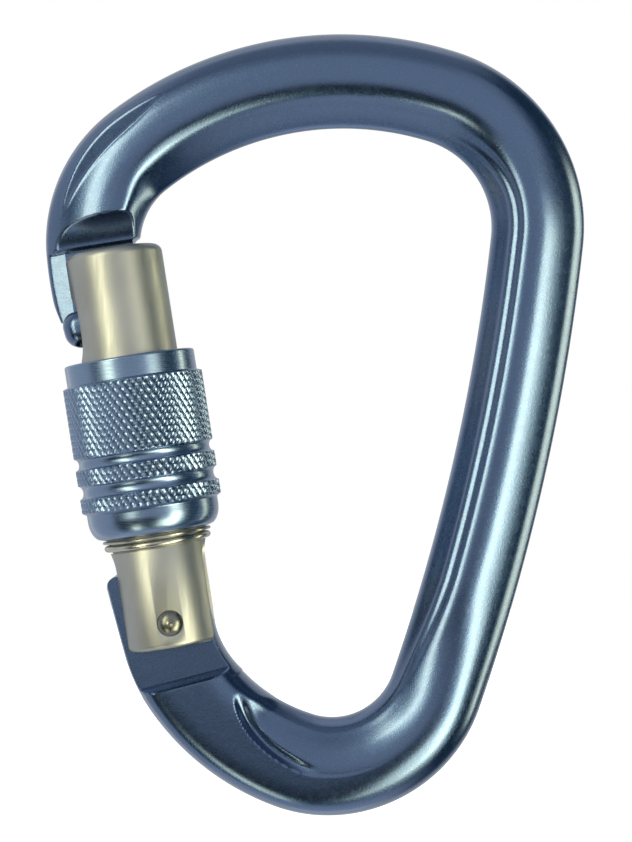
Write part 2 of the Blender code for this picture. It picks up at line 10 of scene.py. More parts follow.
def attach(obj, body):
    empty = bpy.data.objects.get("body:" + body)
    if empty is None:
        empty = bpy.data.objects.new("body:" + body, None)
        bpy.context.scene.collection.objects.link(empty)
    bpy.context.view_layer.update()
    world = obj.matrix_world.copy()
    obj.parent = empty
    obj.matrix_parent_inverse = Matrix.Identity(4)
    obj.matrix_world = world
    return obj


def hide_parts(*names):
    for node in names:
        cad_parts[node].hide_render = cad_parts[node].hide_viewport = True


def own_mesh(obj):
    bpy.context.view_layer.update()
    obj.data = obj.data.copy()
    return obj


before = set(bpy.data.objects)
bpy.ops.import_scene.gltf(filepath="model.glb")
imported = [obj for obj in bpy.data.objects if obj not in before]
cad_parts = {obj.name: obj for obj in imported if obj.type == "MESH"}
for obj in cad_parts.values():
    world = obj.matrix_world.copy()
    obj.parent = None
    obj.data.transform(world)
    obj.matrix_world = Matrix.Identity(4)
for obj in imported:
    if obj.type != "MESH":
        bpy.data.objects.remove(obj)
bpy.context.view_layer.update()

# Lengths are in millimetres until a mesh is made. The world frame is the CAD model's: the carabiner
# stands in the XZ plane with its mid-plane at Y = 0, the spine at +X and the gate at -X.
# A gate-frame point is (across, depth, along): "along" runs up the barrel from the rivet's level,
# "across" points from the outside of the gate towards the spine, and depth is world Y.
MM = 0.001

# ---------------------------------------------------------------- body outline
# The centreline starts on the nose. A short lead of (radius, turn) is added before its start.
PATH_START = (-34.1, -18.0)
PATH_HEADING = 95.1
NOSE_LEAD = (50.0, -15.0)
NOSE_WIDTH = 13.5
# Each arc of the centreline is (length, turn in degrees, section width where it ends).
PATH_ARCS = (
    (16.7, -57.4, 13.7),
    (46.3, -55.0, 13.4),
    (27.1, -79.0, 13.3),
    (66.5, -12.8, 13.4),
    (25.1, -89.5, 14.1),
    (18.7, -35.3, 13.7),
    (7.2, -20.5, 13.6),
    (18.0, -2.0, 13.6),
)
SECTION_WIDTH = 13.4
CREST = 5.6
# Stations are close together at the two machined ends and further apart on the plain stretches.
FINE_STEP = 0.2
COARSE_STEP = 0.75
FINE_NOSE_END = 41.0
FINE_HINGE_START = 190.0

# Half sections as corners (inset from the outer edge, half thickness), outer edge first.
# All have the same number of corners, so that one can turn into the next.
SPINE_SECTION = (
    (0.0, 0.0), (0.0, 0.75), (0.35, 1.5), (1.1, 2.45), (1.9, 3.25), (3.1, 4.0),
    (4.2, 4.57), (5.2, 5.02), (6.2, 5.36), (7.2, 5.54), (8.3, CREST), (9.4, 5.25),
    (9.75, 4.55), (10.85, 4.2), (11.2, 3.4), (13.2, 1.3), (13.4, 0.0),
)
# The lower bend below the spine is evenly rounded.
BEND_SECTION = (
    (0.0, 0.0), (0.0, 1.0), (0.4, 2.2), (1.1, 3.35), (2.1, 4.3), (3.3, 5.0),
    (4.7, 5.45), (6.2, CREST), (7.8, 5.4), (9.2, 4.95), (10.3, 4.35), (11.2, 3.8),
    (11.9, 3.4), (12.4, 2.9), (12.8, 2.2), (13.3, 1.1), (13.4, 0.0),
)
BOW_SECTION = (
    (0.0, 0.0), (0.0, 1.0), (0.6, 2.6), (1.5, 3.75), (2.6, 4.6), (4.0, 5.2),
    (5.4, 5.5), (7.0, CREST), (8.2, 5.45), (9.2, 5.05), (9.9, 4.5), (10.6, 3.75),
    (11.4, 2.95), (12.2, 2.1), (12.9, 1.3), (13.3, 0.7), (13.4, 0.0),
)
NOSE_SECTION = (
    (0.0, 0.0), (0.0, 0.7), (0.4, 1.5), (1.0, 2.1), (2.1, 2.95), (3.6, 3.9),
    (5.4, 4.75), (7.4, 5.35), (9.2, 5.57), (10.3, 5.6), (11.1, 5.4), (11.7, 4.8),
    (12.3, 3.8), (12.8, 2.7), (13.2, 1.6), (13.4, 0.8), (13.4, 0.0),
)
HINGE_SECTION = (
    (0.0, 0.0), (0.0, 1.5), (0.3, 3.0), (0.8, 4.3), (1.6, 5.1), (2.6, 5.5),
    (3.9, CREST), (6.4, CREST), (8.6, CREST), (9.8, 5.55), (10.7, 5.35), (11.5, 4.9),
    (12.2, 4.2), (12.8, 3.2), (13.2, 2.0), (13.4, 1.0), (13.4, 0.0),
)
# Each corner is rounded over this share of the sides that meet there.
CORNER_CUT = 0.42
CORNER_SAMPLES = 5
HALF_POINTS = 104
# Distances along the centreline between which one section turns into the next.
NOSE_TO_BOW = (13.0, 36.0)
BOW_TO_SPINE = (76.0, 98.0)
SPINE_TO_BEND = (152.0, 176.0)
BEND_TO_HINGE = (178.0, 194.0)
SECTION_CHANGES = (NOSE_TO_BOW, BOW_TO_SPINE, SPINE_TO_BEND, BEND_TO_HINGE)
# Near each machined end the sections turn to lie along that end's shoulder line.
NOSE_ACROSS_HEADING = 98.9
NOSE_TURN_IN = (15.5, 28.5)
HINGE_ACROSS_HEADING = -255.4
HINGE_TURN_IN = (198.0, 212.0)
# A flat is pressed on the bow's outer shoulder: a long lens between two distances along the path.
# Its middle bows in from the tips' inset, and a low rim stands along both its edges.
LENS_SPAN = (18.4, 37.6)
LENS_INSET = 2.3
LENS_BOW = 0.65
LENS_HALF_WIDTH = 1.15
LENS_RIM_HEIGHT = 0.09
LENS_RIM_SPREAD = 0.2
# A crescent-shaped hollow lies on the inner side before the hinge. Its rim swings in from the tip on.
HOLLOW_TIP = 192.0
HOLLOW_REACH = 18.5
HOLLOW_RIM_INSET = 6.1
HOLLOW_RIM_SWING = 4.2
HOLLOW_RIM_POWER = 1.5
HOLLOW_WALL_SLOPE = 1.7
HOLLOW_EDGE = 0.2
HOLLOW_FADE = (202.0, 214.5)
HOLLOW_LIFT = 1.8
# A groove runs just inside the rim; it deepens over one stretch of the path and fades over another.
GROOVE_DEPTH = 0.8
GROOVE_FROM_RIM = 0.6
GROOVE_SPREAD = 0.65
GROOVE_STARTS = (190.5, 197.0)
GROOVE_ENDS = (206.0, 213.0)

# ---------------------------------------------------------------- gate axis
GATE_BASE = (-23.1, -70.8)
GATE_LEAN = 8.9
RIVET_ACROSS = 0.5

# ---------------------------------------------------------------- nose and hinge tongue
SHOULDER = 54.7
SHOULDER_EASE = 0.35
# Above the shoulder the nose is scooped out; the scoop starts with a small step in the half thickness.
SCOOP_START_HALF = 2.7
SCOOP_STEP = (SHOULDER - 0.35, SHOULDER + 0.15)
SCOOP_RADIUS = 4.4
BEYOND_SCOOP_SLOPE = 50.0
TONGUE_HALF = 2.1
TONGUE_INNER = 3.3
TONGUE_END = 44.5
TRIMMED_WALK = 13.4
TONGUE_CHEEK = -6.6
TONGUE_CHEEK_SLOPE = 0.27
TONGUE_TIP = 8.75
TONGUE_TAPER = 0.3
KEY_BOTTOM = 40.9
KEY_TOP = 46.2
KEY_OUTER = -8.55
KEY_INNER = 0.6
KEY_HALF = 3.5
KEY_ROUND = 2.2
KEY_ROUND_STEPS = 12
KEY_LEAN = 6.0
LUG_HALF = 3.1
LUG_STEP = -8.5
LUG_STEP_TILT = 5.7
LUG_STEP_RUN = 0.8
LUG_TOP = 7.4
LUG_TOP_END = -2.8
LUG_CORNER_RADIUS = 1.45
LUG_CORNER_ACROSS = -6.5
# The cam on top of the hinge tongue: its radius about the rivet grows with each degree past the start.
CAM_START_ACROSS = -2.0
CAM_START_RADIUS = 6.6
CAM_START_ANGLE = 94.0
CAM_END_ANGLE = 60.0
CAM_RISE = 0.05
CAM_STEPS = 16
LUG_INNER_SIDE = ((6.0, 3.5), (6.5, 0.0), (6.9, -2.6))
LUG_CUT_REACH = 16.0
LUG_CUT_TOP = 22.0
LUG_CUT_THICKNESS = 27.0
EDGE_ROUNDING = 0.35
FRAME_SHARP_ANGLE = 42.0

# ---------------------------------------------------------------- barrel
BARREL_RADIUS = 7.08
BARREL_BOTTOM = -3.7
BARREL_TOP = 53.9
BARREL_EDGE = 1.2
BARREL_FOOT_EDGE = 0.9
RING_GROOVE_RADIUS = 6.75
RING_GROOVE = (10.7, 12.2)
THREAD_COLLAR = (22.0, 27.0)
THREAD_COLLAR_EASE = 0.6
THREAD_ROOT = 7.6
THREAD_PITCH = 2.0
HINGE_SLOT_HALF = 3.4
HINGE_SLOT_TOP = 8.0
HINGE_SLOT_BELOW = -14.0
BORE_RADIUS = 3.3
BORE_BOTTOM = 4.0
BORE_TOP = 34.0
NOSE_SLOT_HALF = 2.4
NOSE_SLOT_INNER = 3.8
NOSE_SLOT_BOTTOM = 39.0
NOSE_SLOT_ABOVE = 70.0
KEY_POCKET_HALF = 3.9
KEY_POCKET_CENTRES = (41.4, 44.7)
KEY_POCKET_INNER = 1.1
SLOT_CUT_REACH = 20.0
RIVET_HOLE = 1.55
RIVET_HOLE_REACH = 12.0
RIVET_SEAT_RADIUS = 1.85
RIVET_SEAT = 6.55
RIVET_SEAT_REACH = 10.0
WORN_EDGE = 0.14
WORN_EDGE_ANGLE = 40.0

# ---------------------------------------------------------------- rivet, spring, plunger
RIVET_RADIUS = 1.45
RIVET_HEAD = 1.7
RIVET_TIP = 7.8
RIVET_UNDER = 6.65
DOME_START = 0.5
DOME_DROP = 0.62
DOME_POWER = 2.6
DIMPLE_RADIUS = 0.42
DIMPLE_DEPTH = 0.13
SPRING_RADIUS = 2.6
SPRING_WIRE = 0.35
SPRING_SPAN = (13.2, 33.4)
SPRING_TURNS = 10
SPRING_TURN_STEPS = 40
SPRING_WIRE_SIDES = 12
SPRING_END_CLOSING = 0.055
PLUNGER_RADIUS = 3.0
PLUNGER_STEM = 1.2
PLUNGER_STEM_ROUND = 0.6
PLUNGER_TIP = 6.85
PLUNGER_BODY = (9.8, 12.6)
PLUNGER_FOOT_EDGE = 0.3
PLUNGER_TOP_EDGE = 0.15
SPIGOT_RADIUS = 1.9
SPIGOT_HEIGHT = 0.4
SPIGOT_EDGE = 0.2

# ---------------------------------------------------------------- sleeve and rings
LIP_BORE = 7.35
LIP_TOP = 15.7
THREAD_BORE = 8.5
SLEEVE_THREAD = (16.6, 26.8)
SLEEVE_THREAD_CREST = 7.85
SLEEVE_THREAD_CREST_HALF = 0.2
SLEEVE_THREAD_FLANK = 0.3
SLEEVE_THREAD_FADE = 0.4
SLEEVE_THREAD_MARGIN = 0.8
SLEEVE_THREAD_ROW = 0.2
MOUTH_BORE = 8.75
MOUTH_BOTTOM = 33.2
MOUTH_EDGE = 0.2
MOUTH_STEP = 0.25
SLEEVE_TOP = 38.2
SLEEVE_TOP_ROUND = 0.35
SLEEVE_BOTTOM = 12.7
COLLAR_RADIUS = 9.4
GRIP_RADIUS = 10.1
COVE_DEPTH = 0.62
LOWER_BAND = (17.0, 19.0)
UPPER_BAND = (20.9, 23.1)
GRIP = (24.8, 34.9)
COLLAR_STEP = (GRIP[1] - 0.05, GRIP[1] + 0.3)
# Below the lowest band the base steps in by the neck, then rounds off towards the washer.
NECK_DEPTH = 0.62
NECK_RUN = 0.45
BASE_ROUND_DEPTH = 1.75
BASE_ROUND_START = 1.4
# The knurl: so many diamonds around, each so long along the axis and made of so many mesh steps.
KNURL_AROUND = 58
KNURL_LENGTH = 1.8
KNURL_STEPS = 6
KNURL_ROW = KNURL_LENGTH / KNURL_STEPS
KNURL_DEPTH = 0.2
KNURL_CAP = 0.62
KNURL_CROSS_SHARE = 0.35
KNURLED_BANDS = (LOWER_BAND, UPPER_BAND, (GRIP[0], COLLAR_STEP[0]))
# Mesh rows keep this far off a knurled band, and rows closer together than CLOSEST_ROWS are merged.
BAND_MARGIN = 0.02
CLOSEST_ROWS = 0.03
# Rows of the mesh on the stretches that are not knurled: (from, to, how many).
SMOOTH_ROWS = (
    (SLEEVE_BOTTOM, LOWER_BAND[0] - BAND_MARGIN, 24),
    (LOWER_BAND[1] + BAND_MARGIN, UPPER_BAND[0] - BAND_MARGIN, 24),
    (UPPER_BAND[1] + BAND_MARGIN, GRIP[0] - BAND_MARGIN, 16),
    (GRIP[1] - 2 * BAND_MARGIN, GRIP[1] + 0.35, 8),
    (SLEEVE_TOP - SLEEVE_TOP_ROUND, SLEEVE_TOP, 7),
)
STOP_RING = (10.95, 11.85)
STOP_RING_RADII = (7.0, 7.72)
WASHER = (12.1, 12.45)
WASHER_RADII = (7.35, 7.85)
WASHER_EDGE = 0.1


# ---------------------------------------------------------------- small helpers
def smoothstep(value, low, high):
    share = np.clip((value - low) / (high - low), 0.0, 1.0)
    return share * share * (3.0 - 2.0 * share)


def soft_min(a, b, rounding):
    """The lower of a and b, with the crease between them rounded."""
    share = np.clip(0.5 + 0.5 * (b - a) / rounding, 0.0, 1.0)
    return b * (1.0 - share) + a * share - rounding * share * (1.0 - share)


def arc_points(centre, radius, start, end, steps):
    angles = np.radians(np.linspace(start, end, steps + 1))
    return [(centre[0] + radius * math.cos(a), centre[1] + radius * math.sin(a)) for a in angles]


def gate_matrix():
    base = Matrix.Translation((GATE_BASE[0] * MM, 0.0, GATE_BASE[1] * MM))
    return base @ Matrix.Rotation(math.radians(-GATE_LEAN), 4, "Y")


GATE = gate_matrix()


def rivet_matrix():
    aside = Matrix.Translation((RIVET_ACROSS * MM, 0.0, 0.0))
    return GATE @ aside @ Matrix.Rotation(math.pi / 2, 4, "X")


def mesh_object(name, vertices, faces, matrix=None):
    """A piece from vertices in millimetres, moved into the world frame."""
    mesh = bpy.data.meshes.new(name)
    mesh.from_pydata((np.asarray(vertices, float) * MM).tolist(), [], faces)
    mesh.validate()
    if matrix is not None:
        mesh.transform(matrix)
    item = bpy.data.objects.new(name, mesh)
    bpy.context.scene.collection.objects.link(item)
    return item


def face_outwards(item):
    work = bmesh.new()
    work.from_mesh(item.data)
    bmesh.ops.recalc_face_normals(work, faces=work.faces)
    work.to_mesh(item.data)
    work.free()


def weld(item, distance=0.005 * MM):
    """Clears the slivers that a cut leaves."""
    work = bmesh.new()
    work.from_mesh(item.data)
    bmesh.ops.remove_doubles(work, verts=work.verts, dist=distance)
    bmesh.ops.dissolve_degenerate(work, edges=work.edges, dist=distance)
    work.to_mesh(item.data)
    work.free()


def shade(item, angle):
    item.data.shade_smooth()
    item.data.set_sharp_from_angle(angle=math.radians(angle))


def grid_faces(rows, columns, wrap_rows=False):
    """Quads over rows of points; each row is a closed loop of columns."""
    faces = []
    for row in range(rows if wrap_rows else rows - 1):
        here = row * columns
        above = ((row + 1) % rows) * columns
        for column in range(columns):
            side = (column + 1) % columns
            faces.append((here + column, here + side, above + side, above + column))
    return faces


def lathe(name, profile, steps, matrix):
    """Turns a closed or axis-to-axis profile of (radius, along) points."""
    on_axis = profile[0][0] < 1e-6
    ring_points = profile[1:-1] if on_axis else profile
    angles = np.linspace(0.0, 2 * math.pi, steps, endpoint=False)
    vertices = []
    for radius, along in ring_points:
        vertices += [(radius * math.cos(a), radius * math.sin(a), along) for a in angles]
    faces = grid_faces(len(ring_points), steps, wrap_rows=not on_axis)
    if on_axis:
        first = len(vertices)
        vertices += [(0.0, 0.0, profile[0][1]), (0.0, 0.0, profile[-1][1])]
        last_row = (len(ring_points) - 1) * steps
        for i in range(steps):
            j = (i + 1) % steps
            faces.append((i, first, j))
            faces.append((last_row + i, last_row + j, first + 1))
    item = mesh_object(name, vertices, faces, matrix)
    face_outwards(item)
    return item


def slab(name, outline, plane, thickness, matrix, centre=0.0):
    """A flat outline given a thickness: plane "XZ" is thick along Y, plane "YZ" along X."""
    count = len(outline)
    vertices = []
    for side in (-0.5, 0.5):
        offset = centre + side * thickness
        for a, b in outline:
            vertices.append((a, offset, b) if plane == "XZ" else (offset, a, b))
    faces = [tuple(range(count)), tuple(range(2 * count - 1, count - 1, -1))]
    for i in range(count):
        j = (i + 1) % count
        faces.append((i, j, count + j, count + i))
    item = mesh_object(name, vertices, faces, matrix)
    face_outwards(item)
    return item


def box_outline(low, high):
    return [(low[0], low[1]), (high[0], low[1]), (high[0], high[1]), (low[0], high[1])]


def boolean(item, tools, operation):
    """Joins or cuts the piece with each tool in turn, and removes the tools."""
    for tool in tools:
        modifier = item.modifiers.new("cut", "BOOLEAN")
        modifier.object = tool
        modifier.operation = operation
        modifier.solver = "EXACT"
    apply_modifiers(item)
    for tool in tools:
        bpy.data.objects.remove(tool, do_unlink=True)


def apply_modifiers(item):
    graph = bpy.context.evaluated_depsgraph_get()
    mesh = bpy.data.meshes.new_from_object(item.evaluated_get(graph))
    item.modifiers.clear()
    item.data = mesh


# ---------------------------------------------------------------- frame
# A place on the centreline: its point, direction, section width, distance along and curvature there.
Station = namedtuple("Station", "x z heading width walked curvature")


def nose_lead():
    """The arc that leads up to the path's start: its first x, z and heading, and its length."""
    radius, turn = NOSE_LEAD
    heading = math.radians(PATH_HEADING - turn)
    middle = heading + math.radians(turn) / 2
    chord = 2 * radius * math.sin(math.radians(-turn) / 2)
    x = PATH_START[0] - chord * math.cos(middle)
    z = PATH_START[1] - chord * math.sin(middle)
    return x, z, heading, radius * math.radians(-turn)


def path_stations():
    """Walks the centreline from the nose to the hinge."""
    lead_radius, lead_turn = NOSE_LEAD
    x, z, heading, lead_length = nose_lead()
    width = NOSE_WIDTH
    walked = 0.0
    stations = [Station(x, z, heading, width, walked, 1.0 / lead_radius)]
    for length, turn, end_width in ((lead_length, lead_turn, NOSE_WIDTH),) + PATH_ARCS:
        start_width = width
        fine = walked < FINE_NOSE_END or walked + length > FINE_HINGE_START
        steps = math.ceil(length / (FINE_STEP if fine else COARSE_STEP))
        curvature = -math.radians(turn) / length
        bend = math.radians(turn) / steps
        stride = 2 * (length / steps / bend) * math.sin(bend / 2)
        for step in range(1, steps + 1):
            x += stride * math.cos(heading + bend / 2)
            z += stride * math.sin(heading + bend / 2)
            heading += bend
            width = start_width + (end_width - start_width) * step / steps
            walked += length / steps
            stations.append(Station(x, z, heading, width, walked, curvature))
    return stations


def section_corners(walked):
    """The section's corners at a distance along the path, blended from the named sections."""
    bow, spine, bend, hinge = (float(smoothstep(walked, *span)) for span in SECTION_CHANGES)
    weights = (1.0 - bow, bow - spine, spine - bend, bend - hinge, hinge)
    sections = (NOSE_SECTION, BOW_SECTION, SPINE_SECTION, BEND_SECTION, HINGE_SECTION)
    return sum(weight * np.array(section) for weight, section in zip(weights, sections))


def rounded_curve(corners):
    """A curve along straight sides with each corner rounded by a quadratic arc."""
    points = [corners[0]]
    shares = np.linspace(0.0, 1.0, CORNER_SAMPLES)[:, None]
    for before, corner, after in zip(corners[:-2], corners[1:-1], corners[2:]):
        start = corner + (before - corner) * CORNER_CUT
        end = corner + (after - corner) * CORNER_CUT
        points += list((1 - shares) ** 2 * start + 2 * shares * (1 - shares) * corner + shares**2 * end)
    points.append(corners[-1])
    return np.array(points)


BEND_CURVE = rounded_curve(np.array(BEND_SECTION))


def even_points(curve, count):
    """Points at equal steps along a curve, as an array of insets and an array of depths."""
    steps = np.hypot(*np.diff(curve, axis=0).T)
    along = np.concatenate(([0.0], np.cumsum(steps)))
    wanted = np.linspace(0.0, along[-1], count)
    return np.interp(wanted, along, curve[:, 0]), np.interp(wanted, along, curve[:, 1])


def to_gate(x, z):
    """World x and z as the gate's across and along."""
    lean = math.radians(GATE_LEAN)
    dx, dz = x - GATE_BASE[0], z - GATE_BASE[1]
    return dx * math.cos(lean) + dz * math.sin(lean), -dx * math.sin(lean) + dz * math.cos(lean)


def from_gate(across, along):
    lean = math.radians(GATE_LEAN)
    x = GATE_BASE[0] + across * math.cos(lean) - along * math.sin(lean)
    z = GATE_BASE[1] + across * math.sin(lean) + along * math.cos(lean)
    return x, z


def nose_limit(across, along):
    """Half thickness that the nose cut leaves: the tongue, a small step and a hollow scoop above it."""
    tongue = TONGUE_HALF - TONGUE_CHEEK_SLOPE * np.clip(TONGUE_CHEEK - across, 0.0, None)
    tongue += (SCOOP_START_HALF - tongue) * smoothstep(along, *SCOOP_STEP)
    rise = np.clip(along - SHOULDER, 0.0, SCOOP_RADIUS)
    scoop = SCOOP_RADIUS - np.sqrt(SCOOP_RADIUS**2 - rise**2)
    beyond = np.clip(along - SHOULDER - SCOOP_RADIUS, 0.0, None) * BEYOND_SCOOP_SLOPE
    return tongue + scoop + beyond


def lug_limit(across, along):
    """Half thickness that the hinge cut leaves: the tongue and the sloped step below it."""
    tilt = math.radians(LUG_STEP_TILT)
    above = -across * math.sin(tilt) + (along - LUG_STEP) * math.cos(tilt)
    slope = (CREST - LUG_HALF) / LUG_STEP_RUN
    return LUG_HALF + slope * np.clip(-above, 0.0, None)


def ring_heading(walked, heading):
    """The direction a section is square to: the path's own, except near the two machined ends."""
    nose = 1.0 - float(smoothstep(walked, *NOSE_TURN_IN))
    hinge = float(smoothstep(walked, *HINGE_TURN_IN))
    heading += (math.radians(NOSE_ACROSS_HEADING) - heading) * nose
    return heading + (math.radians(HINGE_ACROSS_HEADING) - heading) * hinge


def turned_offset(offset, skew, curvature):
    """How far along a line skewed from square a point lies that is "offset" inside the centreline."""
    radius = 1.0 / curvature
    across = radius * math.cos(skew)
    return across - np.sqrt((radius - offset) ** 2 - (radius * math.sin(skew)) ** 2)


def lens_swell(walked):
    """How wide the pressed flat is, from 0 at its two tips to 1 halfway."""
    low, high = LENS_SPAN
    share = min(max((walked - low) / (high - low), 0.0), 1.0)
    return 4.0 * share * (1.0 - share)


def pressed_flat(inset, depth, swell):
    """Cuts the outer shoulder straight across between the lens's edges, and raises a low rim on both."""
    centre = LENS_INSET + LENS_BOW * swell
    edges = (centre - LENS_HALF_WIDTH * swell, centre + LENS_HALF_WIDTH * swell)
    chord = np.interp(inset, edges, np.interp(edges, inset, depth))
    inside = (inset > edges[0]) & (inset < edges[1])
    rim = sum(np.exp(-(((inset - edge) / LENS_RIM_SPREAD) ** 2)) for edge in edges)
    return np.where(inside, chord, depth) + LENS_RIM_HEIGHT * rim * min(1.0, 3.0 * swell)


def hollow_limit(walked, inset):
    """Half thickness inside the crescent-shaped hollow; outside its rim it rises past the section."""
    share = max(walked - HOLLOW_TIP, 0.0) / HOLLOW_REACH
    rim = HOLLOW_RIM_INSET + HOLLOW_RIM_SWING * share**HOLLOW_RIM_POWER
    floor = np.interp(inset, *BEND_CURVE.T)
    closing = float(smoothstep(walked, *HOLLOW_FADE))
    groove = GROOVE_DEPTH * np.exp(-(((inset - rim - GROOVE_FROM_RIM) / GROOVE_SPREAD) ** 2))
    groove *= float(smoothstep(walked, *GROOVE_STARTS) - smoothstep(walked, *GROOVE_ENDS))
    return floor - groove + HOLLOW_WALL_SLOPE * np.clip(rim - inset, 0.0, None) + HOLLOW_LIFT * closing


def forged_half(walked):
    """The front half section before machining, as insets and depths."""
    inset, depth = even_points(rounded_curve(section_corners(walked)), HALF_POINTS)
    swell = lens_swell(walked)
    if swell > 0.0:
        depth = pressed_flat(inset, depth, swell)
    if walked > BEND_TO_HINGE[0]:
        edge = HOLLOW_EDGE * float(smoothstep(walked, *BEND_TO_HINGE)) + 0.001
        depth = soft_min(depth, hollow_limit(walked, inset), edge)
    return inset, depth


def cut_nose(across, along, depth):
    """Machines the nose: thins the tongue and trims its inner side and its tip."""
    depth = soft_min(depth, nose_limit(across, along), EDGE_ROUNDING)
    rise = np.clip(along - SHOULDER, 0.0, None) / SHOULDER_EASE
    across = soft_min(across, TONGUE_INNER + rise**2, EDGE_ROUNDING)
    across = -soft_min(-across, TONGUE_TIP + TONGUE_TAPER * (along - TONGUE_END), EDGE_ROUNDING)
    return across, depth


def frame_ring(station):
    """One closed ring of the body: the front half section, then its mirror image at the back."""
    inset, depth = forged_half(station.walked)
    turned = ring_heading(station.walked, station.heading)
    square_offset = inset * station.width / SECTION_WIDTH - station.width / 2
    offset = turned_offset(square_offset, turned - station.heading, station.curvature)
    px = station.x + math.sin(turned) * offset
    pz = station.z - math.cos(turned) * offset
    across, along = to_gate(px, pz)
    if station.walked < FINE_NOSE_END:
        across, depth = cut_nose(across, along, depth)
        px, pz = from_gate(across, along)
    if station.walked > FINE_HINGE_START:
        depth = soft_min(depth, lug_limit(across, along), EDGE_ROUNDING)
    depth = np.clip(depth, 0.0, None)
    depth[[0, -1]] = 0.0
    front = np.stack([px, -depth, pz], axis=1)
    back = np.stack([px, depth, pz], axis=1)[-2:0:-1]
    return np.concatenate([front, back])


def frame_points():
    """All the rings; over the first stretch only those above the tongue's end are kept."""
    rings = []
    for station in path_stations():
        along = to_gate(station.x, station.z)[1]
        if station.walked > TRIMMED_WALK or along > TONGUE_END:
            rings.append(frame_ring(station))
    return np.array(rings)


def key_bead():
    width = KEY_INNER - KEY_OUTER
    height = KEY_TOP - KEY_BOTTOM
    lean = Matrix.Rotation(math.radians(-KEY_LEAN), 4, "Y")
    middle = Vector(((KEY_INNER + KEY_OUTER) / 2 * MM, 0.0, (KEY_TOP + KEY_BOTTOM) / 2 * MM))
    outline = box_outline((-width / 2, -height / 2), (width / 2, height / 2))
    item = slab("key_bead", outline, "XZ", 2 * KEY_HALF, GATE @ Matrix.Translation(middle) @ lean)
    bevel = item.modifiers.new("rounding", "BEVEL")
    bevel.width = KEY_ROUND * MM
    bevel.segments = KEY_ROUND_STEPS
    bevel.limit_method = "NONE"
    apply_modifiers(item)
    return item


def lug_outline_cutter():
    """Everything above the hinge tongue's outline: its outer corner, flat top, cam and inner side."""
    corner_centre = (LUG_CORNER_ACROSS, LUG_TOP - LUG_CORNER_RADIUS)
    outline = [(-LUG_CUT_REACH, corner_centre[1])]
    outline += arc_points(corner_centre, LUG_CORNER_RADIUS, 180.0, 90.0, 12)
    outline += [(LUG_TOP_END, LUG_TOP), (CAM_START_ACROSS, CAM_START_RADIUS)]
    for step in range(CAM_STEPS + 1):
        turn = (CAM_START_ANGLE - CAM_END_ANGLE) * step / CAM_STEPS
        radius = CAM_START_RADIUS + CAM_RISE * turn
        angle = math.radians(CAM_START_ANGLE - turn)
        outline.append((RIVET_ACROSS + radius * math.cos(angle), radius * math.sin(angle)))
    outline += LUG_INNER_SIDE
    outline += [(LUG_CUT_REACH, LUG_INNER_SIDE[-1][1]), (LUG_CUT_REACH, LUG_CUT_TOP)]
    outline += [(-LUG_CUT_REACH, LUG_CUT_TOP)]
    return slab("lug_outline", outline, "XZ", LUG_CUT_THICKNESS, GATE)


def rod_profile(radius, low, high):
    """The profile of a plain rod, from its upper end to its lower one."""
    return [(0.0, high), (radius, high), (radius, low), (0.0, low)]


def rivet_hole_cutter():
    profile = rod_profile(RIVET_HOLE, -RIVET_HOLE_REACH, RIVET_HOLE_REACH)
    return lathe("rivet_hole", profile, 48, rivet_matrix())


def build_frame():
    rings = frame_points()
    rows, columns = rings.shape[:2]
    faces = grid_faces(rows, columns)
    faces.append(tuple(range(columns)))
    faces.append(tuple(range(rows * columns - 1, (rows - 1) * columns - 1, -1)))
    item = mesh_object("frame_body", rings.reshape(-1, 3), faces)
    face_outwards(item)
    boolean(item, [key_bead()], "UNION")
    boolean(item, [lug_outline_cutter(), rivet_hole_cutter()], "DIFFERENCE")
    shade(item, FRAME_SHARP_ANGLE)
    return item


# ---------------------------------------------------------------- gate
def barrel_profile():
    edge = BARREL_EDGE
    foot = BARREL_FOOT_EDGE
    collar_low, collar_high = THREAD_COLLAR
    groove_low, groove_high = RING_GROOVE
    profile = [(0.0, BARREL_TOP)]
    profile += arc_points((BARREL_RADIUS - edge, BARREL_TOP - edge), edge, 90.0, 0.0, 10)
    profile += [(BARREL_RADIUS, collar_high + THREAD_COLLAR_EASE)]
    profile += [(THREAD_ROOT, collar_high), (THREAD_ROOT, collar_low), (BARREL_RADIUS, collar_low)]
    profile += [(BARREL_RADIUS, groove_high), (RING_GROOVE_RADIUS, groove_high)]
    profile += [(RING_GROOVE_RADIUS, groove_low), (BARREL_RADIUS, groove_low)]
    profile += arc_points((BARREL_RADIUS - foot, BARREL_BOTTOM + foot), foot, 0.0, -90.0, 8)
    profile += [(0.0, BARREL_BOTTOM)]
    return profile


def round_slot(name, half, low, high, across_low, across_high):
    """A slot milled along "across", with round ends, between two levels of its end centres."""
    outline = arc_points((0.0, high), half, 0.0, 180.0, 32)
    outline += arc_points((0.0, low), half, 180.0, 360.0, 32)
    centre = (across_high + across_low) / 2
    return slab(name, outline, "YZ", across_high - across_low, GATE, centre)


def rivet_seat_cutter(side):
    low, high = sorted((side * RIVET_SEAT, side * RIVET_SEAT_REACH))
    return lathe("rivet_seat", rod_profile(RIVET_SEAT_RADIUS, low, high), 48, rivet_matrix())


def wear_edges(item):
    bevel = item.modifiers.new("worn_edges", "BEVEL")
    bevel.width = WORN_EDGE * MM
    bevel.segments = 2
    bevel.limit_method = "ANGLE"
    bevel.angle_limit = math.radians(WORN_EDGE_ANGLE)
    apply_modifiers(item)


